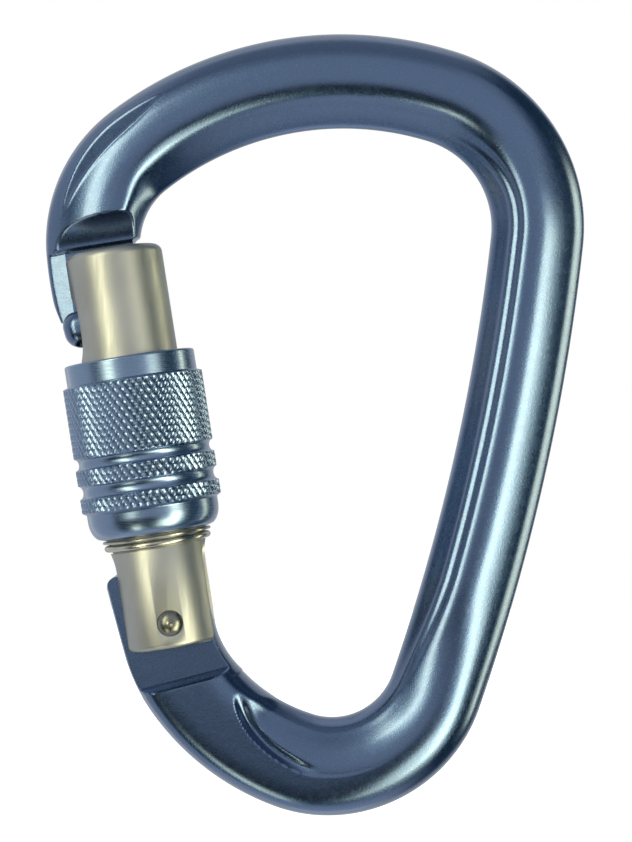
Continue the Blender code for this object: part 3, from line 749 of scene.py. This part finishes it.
def build_barrel():
    item = lathe("gate_barrel_fine", barrel_profile(), 128, GATE)
    reach = SLOT_CUT_REACH
    nose_slot = box_outline((-reach, NOSE_SLOT_BOTTOM), (NOSE_SLOT_INNER, NOSE_SLOT_ABOVE))
    tools = [
        round_slot("hinge_slot", HINGE_SLOT_HALF, HINGE_SLOT_BELOW, HINGE_SLOT_TOP, -reach, reach),
        lathe("bore", rod_profile(BORE_RADIUS, BORE_BOTTOM, BORE_TOP), 48, GATE),
        slab("nose_slot", nose_slot, "XZ", 2 * NOSE_SLOT_HALF, GATE),
        round_slot("key_pocket", KEY_POCKET_HALF, *KEY_POCKET_CENTRES, -reach, KEY_POCKET_INNER),
        rivet_hole_cutter(),
        rivet_seat_cutter(1),
        rivet_seat_cutter(-1),
    ]
    boolean(item, tools, "DIFFERENCE")
    weld(item)
    wear_edges(item)
    shade(item, 30.0)
    return item


def build_rivet():
    """A shank with a domed head at each end, each with a small dimple from the setting tool."""
    head = []
    for radius in np.linspace(0.0, DIMPLE_RADIUS, 6):
        head.append((radius, RIVET_TIP - DIMPLE_DEPTH * (1.0 - (radius / DIMPLE_RADIUS) ** 2)))
    for radius in np.linspace(DOME_START, RIVET_HEAD, 14):
        head.append((radius, RIVET_TIP - DOME_DROP * (radius / RIVET_HEAD) ** DOME_POWER))
    head += [(RIVET_HEAD, RIVET_UNDER), (RIVET_RADIUS, RIVET_UNDER)]
    other = [(radius, -along) for radius, along in reversed(head)]
    item = lathe("rivet_pin", head + other, 72, rivet_matrix())
    shade(item, 40.0)
    return item


def build_plunger():
    """A cap with a stem that rests on the cam and a spigot that centres the coil."""
    low, high = PLUNGER_BODY
    tip = high + SPIGOT_HEIGHT
    stem_round = PLUNGER_STEM_ROUND
    stem_level = PLUNGER_TIP + stem_round
    profile = [(0.0, tip), (SPIGOT_RADIUS - SPIGOT_EDGE, tip), (SPIGOT_RADIUS, tip - SPIGOT_EDGE)]
    profile += [(SPIGOT_RADIUS, high), (PLUNGER_RADIUS - PLUNGER_TOP_EDGE, high)]
    profile += [(PLUNGER_RADIUS, high - PLUNGER_TOP_EDGE), (PLUNGER_RADIUS, low + PLUNGER_FOOT_EDGE)]
    profile += [(PLUNGER_RADIUS - PLUNGER_FOOT_EDGE, low), (PLUNGER_STEM, low), (PLUNGER_STEM, stem_level)]
    profile += arc_points((PLUNGER_STEM - stem_round, stem_level), stem_round, 0.0, -90.0, 6)[1:]
    profile += [(0.0, PLUNGER_TIP)]
    item = lathe("plunger_cap", profile, 64, GATE)
    shade(item, 35.0)
    return item


def coil_centreline():
    """The wire's middle, with the pitch closing up at both ends, and the outward direction at each point."""
    low = SPRING_SPAN[0] + SPRING_WIRE
    high = SPRING_SPAN[1] - SPRING_WIRE
    share = np.linspace(0.0, 1.0, SPRING_TURNS * SPRING_TURN_STEPS + 1)
    along = low + (high - low) * (share - SPRING_END_CLOSING * np.sin(2 * math.pi * share))
    angle = 2 * math.pi * SPRING_TURNS * share
    outward = np.stack([np.cos(angle), np.sin(angle), np.zeros(len(share))], axis=1)
    centre = SPRING_RADIUS * outward
    centre[:, 2] = along
    return centre, outward


def build_spring():
    centre, outward = coil_centreline()
    sides = SPRING_WIRE_SIDES
    tangent = np.gradient(centre, axis=0)
    tangent /= np.linalg.norm(tangent, axis=1)[:, None]
    upward = np.cross(tangent, outward)
    rings = []
    for angle in np.linspace(0.0, 2 * math.pi, sides, endpoint=False):
        rings.append(centre + SPRING_WIRE * (math.cos(angle) * outward + math.sin(angle) * upward))
    vertices = np.stack(rings, axis=1).reshape(-1, 3)
    faces = grid_faces(len(centre), sides)
    faces.append(tuple(range(sides)))
    faces.append(tuple(range(len(vertices) - 1, len(vertices) - 1 - sides, -1)))
    item = mesh_object("return_spring", vertices, faces, GATE)
    face_outwards(item)
    shade(item, 50.0)
    return item


# ---------------------------------------------------------------- sleeve
def cove(along, low, high):
    """How far a hollow between two bands sinks below the grip radius."""
    share = np.clip((along - low) / (high - low), 0.0, 1.0)
    return COVE_DEPTH * np.sqrt(np.clip(1.0 - (2.0 * share - 1.0) ** 2, 0.0, 1.0))


def sleeve_outer(along):
    """The smooth outer radius at one level, before the knurl is pressed into it."""
    radius = GRIP_RADIUS - cove(along, UPPER_BAND[1], GRIP[0]) - cove(along, LOWER_BAND[1], UPPER_BAND[0])
    radius -= (GRIP_RADIUS - COLLAR_RADIUS) * smoothstep(along, *COLLAR_STEP)
    top = max(along - (SLEEVE_TOP - SLEEVE_TOP_ROUND), 0.0)
    radius -= SLEEVE_TOP_ROUND - math.sqrt(SLEEVE_TOP_ROUND**2 - min(top, SLEEVE_TOP_ROUND) ** 2)
    below = max(LOWER_BAND[0] - along, 0.0)
    radius -= NECK_DEPTH * smoothstep(below, 0.0, NECK_RUN)
    reach = LOWER_BAND[0] - SLEEVE_BOTTOM - BASE_ROUND_START
    share = min(max(below - BASE_ROUND_START, 0.0) / reach, 1.0)
    return radius - BASE_ROUND_DEPTH * (1.0 - math.sqrt(1.0 - share**2))


def is_knurled(along):
    return any(low <= along <= high for low, high in KNURLED_BANDS)


def knurl_height(around_step, along_step):
    """Flat-topped diamonds: 1 on a top, 0 in the main valleys, less deep in the ones across them."""
    p = (around_step + along_step) / KNURL_STEPS
    q = (around_step - along_step) / KNURL_STEPS
    rise_p = 2.0 * np.abs(p - np.round(p))
    rise_q = 2.0 * np.abs(q - np.round(q))
    main = np.minimum(rise_p / KNURL_CAP, 1.0)
    crossing = 1.0 - KNURL_CROSS_SHARE * (1.0 - np.minimum(rise_q / KNURL_CAP, 1.0))
    return np.minimum(main, crossing)


def sleeve_levels():
    """Rows of the outer side from the base up; those in knurled bands lie on the knurl's own grid."""
    first = math.ceil(SLEEVE_BOTTOM / KNURL_ROW)
    last = math.floor(SLEEVE_TOP / KNURL_ROW)
    levels = list(np.arange(first, last + 1) * KNURL_ROW)
    for low, high, rows in SMOOTH_ROWS:
        levels += list(np.linspace(low, high, rows))
    levels = np.unique(np.round(levels, 4))
    keep = [levels[0]]
    for level in levels[1:]:
        if level - keep[-1] > CLOSEST_ROWS:
            keep.append(level)
    return np.array(keep)


def outer_radii(column, level):
    """The outer radius at each column of one row."""
    smooth = np.full(len(column), sleeve_outer(level))
    if not is_knurled(level):
        return smooth
    pressed = GRIP_RADIUS - KNURL_DEPTH * (1.0 - knurl_height(column, level / KNURL_ROW))
    return np.minimum(smooth, pressed)


def thread_height(angles, level):
    low, high = SLEEVE_THREAD
    turn = (level - low) / THREAD_PITCH - angles / (2 * math.pi)
    from_crest = np.abs(turn - np.round(turn)) * THREAD_PITCH
    flank_foot = SLEEVE_THREAD_CREST_HALF + SLEEVE_THREAD_FLANK
    ridge = np.clip((flank_foot - from_crest) / SLEEVE_THREAD_FLANK, 0.0, 1.0)
    starts = smoothstep(level, low - SLEEVE_THREAD_FADE, low)
    ends = starts * (1.0 - smoothstep(level, high, high + SLEEVE_THREAD_FADE))
    return (THREAD_BORE - SLEEVE_THREAD_CREST) * ridge * ends


def inner_rows(angles):
    """Rows of the bore from the mouth down: (radius at each column, level)."""
    mouth = [(MOUTH_BORE + MOUTH_EDGE, SLEEVE_TOP), (MOUTH_BORE, SLEEVE_TOP - MOUTH_EDGE)]
    mouth += [(MOUTH_BORE, MOUTH_BOTTOM), (THREAD_BORE, MOUTH_BOTTOM - MOUTH_STEP)]
    lip = [(THREAD_BORE, LIP_TOP), (LIP_BORE, LIP_TOP), (LIP_BORE, SLEEVE_BOTTOM)]
    low = SLEEVE_THREAD[0] - SLEEVE_THREAD_MARGIN
    high = SLEEVE_THREAD[1] + SLEEVE_THREAD_MARGIN
    rows = [(np.full(len(angles), radius), level) for radius, level in mouth]
    for level in np.arange(high, low - 0.01, -SLEEVE_THREAD_ROW):
        rows.append((THREAD_BORE - thread_height(angles, level), level))
    return rows + [(np.full(len(angles), radius), level) for radius, level in lip]


def on_knurl_grid(low, high):
    """Whether two neighbouring rows are whole knurl steps, one step apart."""
    low_step, high_step = low / KNURL_ROW, high / KNURL_ROW
    whole = abs(low_step - round(low_step)) < 0.01 and abs(high_step - round(high_step)) < 0.01
    return whole and round(high_step) == round(low_step) + 1


def sleeve_faces(levels, rows, columns):
    """Quads, but split along the valleys where the knurl is."""
    faces = []
    for row in range(rows):
        here = row * columns
        above = ((row + 1) % rows) * columns
        on_grid = row + 1 < len(levels) and on_knurl_grid(levels[row], levels[row + 1])
        for column in range(columns):
            side = (column + 1) % columns
            a, b, c, d = here + column, here + side, above + side, above + column
            if not on_grid:
                faces.append((a, b, c, d))
            elif (column + round(levels[row] / KNURL_ROW) + 1) % KNURL_STEPS == 0:
                faces += [(a, b, d), (b, c, d)]
            else:
                faces += [(a, b, c), (a, c, d)]
    return faces


def build_sleeve():
    column = np.arange(KNURL_AROUND * KNURL_STEPS)
    angles = 2 * math.pi * column / len(column)
    levels = sleeve_levels()
    rows = [(outer_radii(column, level), level) for level in levels] + inner_rows(angles)
    vertices = []
    for radius, level in rows:
        height = np.full(len(column), level)
        vertices.append(np.stack([radius * np.cos(angles), radius * np.sin(angles), height], axis=1))
    faces = sleeve_faces(levels, len(rows), len(column))
    item = mesh_object("knurled_sleeve", np.concatenate(vertices), faces, GATE)
    face_outwards(item)
    shade(item, 24.0)
    return item


def build_ring():
    low, high = STOP_RING
    inner, outer = STOP_RING_RADII
    half = (high - low) / 2
    middle = (high + low) / 2
    profile = [(inner, high)] + arc_points((outer - half, middle), half, 90.0, -90.0, 14) + [(inner, low)]
    item = lathe("snap_ring", profile, 144, GATE)
    shade(item, 35.0)
    return item


def build_washer():
    low, high = WASHER
    inner, outer = WASHER_RADII
    edge = WASHER_EDGE
    profile = [(inner, high), (outer - edge, high), (outer, high - edge), (outer, low + edge)]
    profile += [(outer - edge, low), (inner, low)]
    item = lathe("sleeve_washer", profile, 144, GATE)
    shade(item, 25.0)
    return item


# ---------------------------------------------------------------- materials
# Two tones of each finish, which drift into each other over its blotches.
BODY_BLUE = ((0.060, 0.122, 0.255), (0.070, 0.138, 0.280))
BODY_FLECK = (0.10, 0.155, 0.29)
SLEEVE_BLUE = ((0.155, 0.240, 0.400), (0.180, 0.275, 0.440))
NICKEL = ((0.46, 0.455, 0.43), (0.52, 0.515, 0.485))
RIVET_STEEL = ((0.20, 0.20, 0.175), (0.28, 0.275, 0.24))
RING_STEEL = ((0.52, 0.50, 0.42), (0.62, 0.60, 0.52))
SPRING_STEEL = ((0.40, 0.41, 0.43), (0.48, 0.49, 0.50))
# Heights of the surface textures, in metres.
BLASTED_HEIGHT = 0.00002
FINE_GRAIN_HEIGHT = 0.000005
TURNING_MARK_HEIGHT = 0.000003
OXIDE_IOR = 1.72
# How strongly noise is stretched across and along the gate's axis (per metre).
TURNED_RINGS = (300.0, 300.0, 9000.0)
DRAWN_STREAKS = (2600.0, 2600.0, 120.0)


class Look:
    """A metal Principled material built up node by node, in object coordinates (metres)."""

    def __init__(self, name):
        self.material = bpy.data.materials.new(name)
        self.material.use_nodes = True
        self.tree = self.material.node_tree
        self.shader = self.tree.nodes["Principled BSDF"]
        self.shader.inputs["Metallic"].default_value = 1.0
        self.coordinates = self.node("ShaderNodeTexCoord").outputs["Object"]
        self.normal = None

    def node(self, kind, **values):
        made = self.tree.nodes.new(kind)
        for key, value in values.items():
            setattr(made, key, value)
        return made

    def link(self, output, target):
        self.tree.links.new(output, target)

    def noise(self, scale, detail=2.0, roughness=0.5, source=None):
        texture = self.node("ShaderNodeTexNoise")
        texture.inputs["Scale"].default_value = scale
        texture.inputs["Detail"].default_value = detail
        texture.inputs["Roughness"].default_value = roughness
        self.link(source or self.coordinates, texture.inputs["Vector"])
        return texture.outputs["Fac"]

    def gate_noise(self, stretch, detail, roughness):
        """Noise stretched differently across and along the gate's axis."""
        mapping = self.node("ShaderNodeMapping")
        mapping.inputs["Rotation"].default_value = (0.0, math.radians(GATE_LEAN), 0.0)
        mapping.inputs["Scale"].default_value = stretch
        self.link(self.coordinates, mapping.inputs["Vector"])
        return self.noise(1.0, detail, roughness, mapping.outputs["Vector"])

    def remap(self, value, low, high, new_low, new_high):
        ranged = self.node("ShaderNodeMapRange")
        ranged.inputs["From Min"].default_value = low
        ranged.inputs["From Max"].default_value = high
        ranged.inputs["To Min"].default_value = new_low
        ranged.inputs["To Max"].default_value = new_high
        self.link(value, ranged.inputs["Value"])
        return ranged.outputs["Result"]

    def mix(self, factor, first, second):
        mixed = self.node("ShaderNodeMix", data_type="RGBA")
        self.link(factor, mixed.inputs["Factor"])
        for value, socket in ((first, mixed.inputs["A"]), (second, mixed.inputs["B"])):
            if isinstance(value, tuple):
                socket.default_value = (*value, 1.0)
            else:
                self.link(value, socket)
        return mixed.outputs["Result"]

    def two_tones(self, scale, tones):
        """A colour that drifts between two tones over blotches."""
        blotches = self.remap(self.noise(scale, 3.0), 0.35, 0.65, 0.0, 1.0)
        return self.mix(blotches, *tones)

    def bump(self, height, distance):
        bumped = self.node("ShaderNodeBump")
        bumped.inputs["Distance"].default_value = distance
        self.link(height, bumped.inputs["Height"])
        if self.normal is not None:
            self.link(self.normal, bumped.inputs["Normal"])
        self.normal = bumped.outputs["Normal"]

    def oxide_layer(self, roughness):
        """The clear hard layer over the dye, which reflects without its colour."""
        self.shader.inputs["Coat Weight"].default_value = 1.0
        self.shader.inputs["Coat IOR"].default_value = OXIDE_IOR
        self.shader.inputs["Coat Roughness"].default_value = roughness

    def finish(self, colour, roughness):
        self.link(colour, self.shader.inputs["Base Color"])
        self.link(roughness, self.shader.inputs["Roughness"])
        self.link(self.normal, self.shader.inputs["Normal"])
        return self.material


def anodised_frame():
    look = Look("blue_anodised_body")
    grain = look.noise(4200.0, 1.0)
    fleck = look.remap(grain, 0.58, 0.70, 0.0, 1.0)
    colour = look.mix(fleck, look.two_tones(55.0, BODY_BLUE), BODY_FLECK)
    roughness = look.remap(look.noise(900.0), 0.3, 0.7, 0.24, 0.30)
    look.bump(grain, BLASTED_HEIGHT)
    look.oxide_layer(0.22)
    return look.finish(colour, roughness)


def anodised_sleeve():
    look = Look("blue_anodised_sleeve")
    rings = look.gate_noise(TURNED_RINGS, 2.0, 0.5)
    roughness = look.remap(rings, 0.3, 0.7, 0.24, 0.36)
    look.bump(rings, TURNING_MARK_HEIGHT)
    look.bump(look.noise(4500.0), FINE_GRAIN_HEIGHT)
    look.oxide_layer(0.2)
    return look.finish(look.two_tones(90.0, SLEEVE_BLUE), roughness)


def satin_nickel():
    look = Look("satin_nickel")
    streaks = look.gate_noise(DRAWN_STREAKS, 3.0, 0.6)
    roughness = look.remap(streaks, 0.3, 0.7, 0.38, 0.50)
    look.bump(streaks, TURNING_MARK_HEIGHT)
    look.bump(look.noise(3800.0), FINE_GRAIN_HEIGHT)
    return look.finish(look.two_tones(120.0, NICKEL), roughness)


def plain_steel(name, tones, smoothest, roughest, grain_scale):
    look = Look(name)
    grain = look.noise(grain_scale, 3.0, 0.6)
    roughness = look.remap(grain, 0.3, 0.7, smoothest, roughest)
    look.bump(grain, FINE_GRAIN_HEIGHT)
    return look.finish(look.two_tones(400.0, tones), roughness)


# ---------------------------------------------------------------- assembly
def place(item, material, body, node):
    item.data.materials.clear()
    item.data.materials.append(material)
    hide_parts(node)
    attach(item, body)


def place_spring(material):
    """The coil, put on the gate with a mesh of its own."""
    coil = build_spring()
    place(coil, material, "gate", "gate_spring")
    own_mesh(coil)


def build_carabiner():
    rivet_steel = plain_steel("rivet_steel_look", RIVET_STEEL, 0.24, 0.38, 2500.0)
    ring_steel = plain_steel("ring_steel_look", RING_STEEL, 0.18, 0.28, 3000.0)
    spring_steel = plain_steel("spring_steel_look", SPRING_STEEL, 0.22, 0.32, 3000.0)
    place(build_frame(), anodised_frame(), "frame", "frame")
    place(build_barrel(), satin_nickel(), "gate", "gate_barrel")
    place(build_rivet(), rivet_steel, "gate", "gate_rivet")
    place_spring(spring_steel)
    place(build_plunger(), spring_steel, "plunger", "spring_plunger")
    place(build_sleeve(), anodised_sleeve(), "sleeve", "locking_sleeve")
    place(build_ring(), ring_steel, "gate", "stop_ring")
    place(build_washer(), ring_steel, "sleeve_carrier", "thrust_washer")


# ---------------------------------------------------------------- stage
# Stage sizes are in metres; the lens and the sensor are in millimetres.
CAMERA_PLACE = (-0.00202, -0.300, -0.0422)
CAMERA_LENS = 88.87
CAMERA_SENSOR = 36.0
CAMERA_NEAREST = 0.01
FLOOR_LEVEL = -0.34
FLOOR_SIZE = 6.0
FLOOR_GREY = 0.9
FLOOR_GLOW = 0.7


def build_camera():
    data = bpy.data.cameras.new("camera")
    data.sensor_fit = "VERTICAL"
    data.sensor_height = CAMERA_SENSOR
    data.lens = CAMERA_LENS
    data.clip_start = CAMERA_NEAREST
    camera = bpy.data.objects.new("camera", data)
    camera.location = CAMERA_PLACE
    camera.rotation_euler = (math.pi / 2, 0.0, 0.0)
    bpy.context.scene.collection.objects.link(camera)
    bpy.context.scene.camera = camera


def build_floor():
    half = FLOOR_SIZE / 2 / MM
    level = FLOOR_LEVEL / MM
    corners = [(-half, -half, level), (half, -half, level), (half, half, level), (-half, half, level)]
    floor = mesh_object("floor", corners, [(0, 1, 2, 3)])
    material = bpy.data.materials.new("pale_floor")
    material.use_nodes = True
    shader = material.node_tree.nodes["Principled BSDF"]
    shader.inputs["Base Color"].default_value = (FLOOR_GREY, FLOOR_GREY, FLOOR_GREY, 1.0)
    shader.inputs["Roughness"].default_value = 0.9
    shader.inputs["Emission Color"].default_value = (1.0, 1.0, 1.0, 1.0)
    shader.inputs["Emission Strength"].default_value = FLOOR_GLOW
    floor.data.materials.append(material)
    floor.visible_glossy = False


class Sky:
    """Studio light painted on the world by direction: azimuth 0 is behind the camera, +90 is at +X."""

    def __init__(self):
        world = bpy.data.worlds.new("studio")
        world.use_nodes = True
        bpy.context.scene.world = world
        self.tree = world.node_tree
        self.tree.nodes.clear()
        direction = self.node("ShaderNodeTexCoord").outputs["Generated"]
        split = self.node("ShaderNodeSeparateXYZ")
        self.link(direction, split.inputs[0])
        x, y, z = split.outputs
        towards_camera = self.math("MULTIPLY", y, -1.0)
        turn = self.math("ARCTAN2", x, towards_camera)
        self.azimuth = self.math("MULTIPLY", turn, 180 / math.pi)
        self.elevation = self.math("MULTIPLY", self.math("ARCSINE", z, 0.0), 180 / math.pi)
        self.total = None

    def node(self, kind):
        return self.tree.nodes.new(kind)

    def link(self, output, target):
        self.tree.links.new(output, target)

    def math(self, operation, first, second):
        made = self.node("ShaderNodeMath")
        made.operation = operation
        for value, socket in ((first, made.inputs[0]), (second, made.inputs[1])):
            if isinstance(value, (int, float)):
                socket.default_value = value
            else:
                self.link(value, socket)
        return made.outputs[0]

    def band(self, value, centre, half_width, softness):
        """1 within half_width of the centre, fading to 0 over softness."""
        away = self.math("ABSOLUTE", self.math("SUBTRACT", value, centre), 0.0)
        ranged = self.node("ShaderNodeMapRange")
        ranged.interpolation_type = "SMOOTHSTEP"
        ranged.inputs["From Min"].default_value = half_width
        ranged.inputs["From Max"].default_value = half_width + softness
        ranged.inputs["To Min"].default_value = 1.0
        ranged.inputs["To Max"].default_value = 0.0
        self.link(away, ranged.inputs["Value"])
        return ranged.outputs["Result"]

    def patch(self, azimuth, elevation):
        """1 inside a soft-edged patch of the sky, 0 outside it."""
        across = self.band(self.azimuth, *azimuth)
        return self.math("MULTIPLY", across, self.band(self.elevation, *elevation))

    def add(self, colour, strength, patch):
        amount = self.math("MULTIPLY", patch, strength)
        scaled = self.node("ShaderNodeVectorMath")
        scaled.operation = "SCALE"
        scaled.inputs[0].default_value = colour
        self.link(amount, scaled.inputs["Scale"])
        if self.total is None:
            self.total = scaled.outputs[0]
            return
        summed = self.node("ShaderNodeVectorMath")
        summed.operation = "ADD"
        self.link(self.total, summed.inputs[0])
        self.link(scaled.outputs[0], summed.inputs[1])
        self.total = summed.outputs[0]

    def darken(self, depth, patch):
        amount = self.math("SUBTRACT", 1.0, self.math("MULTIPLY", patch, depth))
        scaled = self.node("ShaderNodeVectorMath")
        scaled.operation = "SCALE"
        self.link(self.total, scaled.inputs[0])
        self.link(amount, scaled.inputs["Scale"])
        self.total = scaled.outputs[0]

    def finish(self):
        """The camera itself sees plain white; the patches only light the object."""
        lit = self.node("ShaderNodeBackground")
        self.link(self.total, lit.inputs["Color"])
        seen = self.node("ShaderNodeBackground")
        seen.inputs["Color"].default_value = (1.0, 1.0, 1.0, 1.0)
        path = self.node("ShaderNodeLightPath")
        mixed = self.node("ShaderNodeMixShader")
        self.link(path.outputs["Is Camera Ray"], mixed.inputs[0])
        self.link(lit.outputs[0], mixed.inputs[1])
        self.link(seen.outputs[0], mixed.inputs[2])
        output = self.node("ShaderNodeOutputWorld")
        self.link(mixed.outputs[0], output.inputs["Surface"])


WHITE = (1.0, 1.0, 1.0)
CREAM = (1.0, 0.97, 0.62)
SHADE = (0.25, 0.65, 1.0)
# Each light is (colour, strength, azimuth, elevation); an angle is (centre, half width, softness).
ANYWHERE = (0.0, 180.0, 1.0)
ANY_HEIGHT = (0.0, 90.0, 1.0)
LIGHTS = (
    (SHADE, 0.10, ANYWHERE, ANY_HEIGHT),
    (WHITE, 0.54, (0.0, 44.0, 20.0), (12.0, 34.0, 16.0)),
    (CREAM, 5.6, (-35.0, 4.5, 7.0), (15.0, 18.0, 6.5)),
    (CREAM, 7.0, (46.0, 5.0, 9.0), (-20.0, 19.0, 13.0)),
    (CREAM, 3.5, (30.0, 10.0, 8.0), (-33.0, 9.0, 9.0)),
    (CREAM, 4.0, (-27.0, 5.0, 6.0), (-42.0, 10.0, 8.0)),
    (CREAM, 4.2, (104.0, 4.0, 7.0), (-4.0, 18.0, 12.0)),
    (WHITE, 0.45, (180.0, 36.0, 14.0), (0.0, 60.0, 25.0)),
    (WHITE, 0.45, (-180.0, 36.0, 14.0), (0.0, 60.0, 25.0)),
    (WHITE, 0.55, (-105.0, 30.0, 15.0), (0.0, 50.0, 20.0)),
    (WHITE, 0.65, ANYWHERE, (-88.0, 22.0, 16.0)),
    (WHITE, 0.30, ANYWHERE, (90.0, 25.0, 15.0)),
)
# One patch is darkened instead: (share of the light taken away, azimuth, elevation).
DARK_PATCH = (0.92, (-22.0, 36.0, 10.0), (-22.0, 9.0, 11.0))


def build_light():
    sky = Sky()
    for colour, strength, azimuth, elevation in LIGHTS:
        sky.add(colour, strength, sky.patch(azimuth, elevation))
    depth, azimuth, elevation = DARK_PATCH
    sky.darken(depth, sky.patch(azimuth, elevation))
    sky.finish()


build_camera()
build_floor()
build_light()
build_carabiner()
bpy.context.scene.view_settings.view_transform = "Standard"
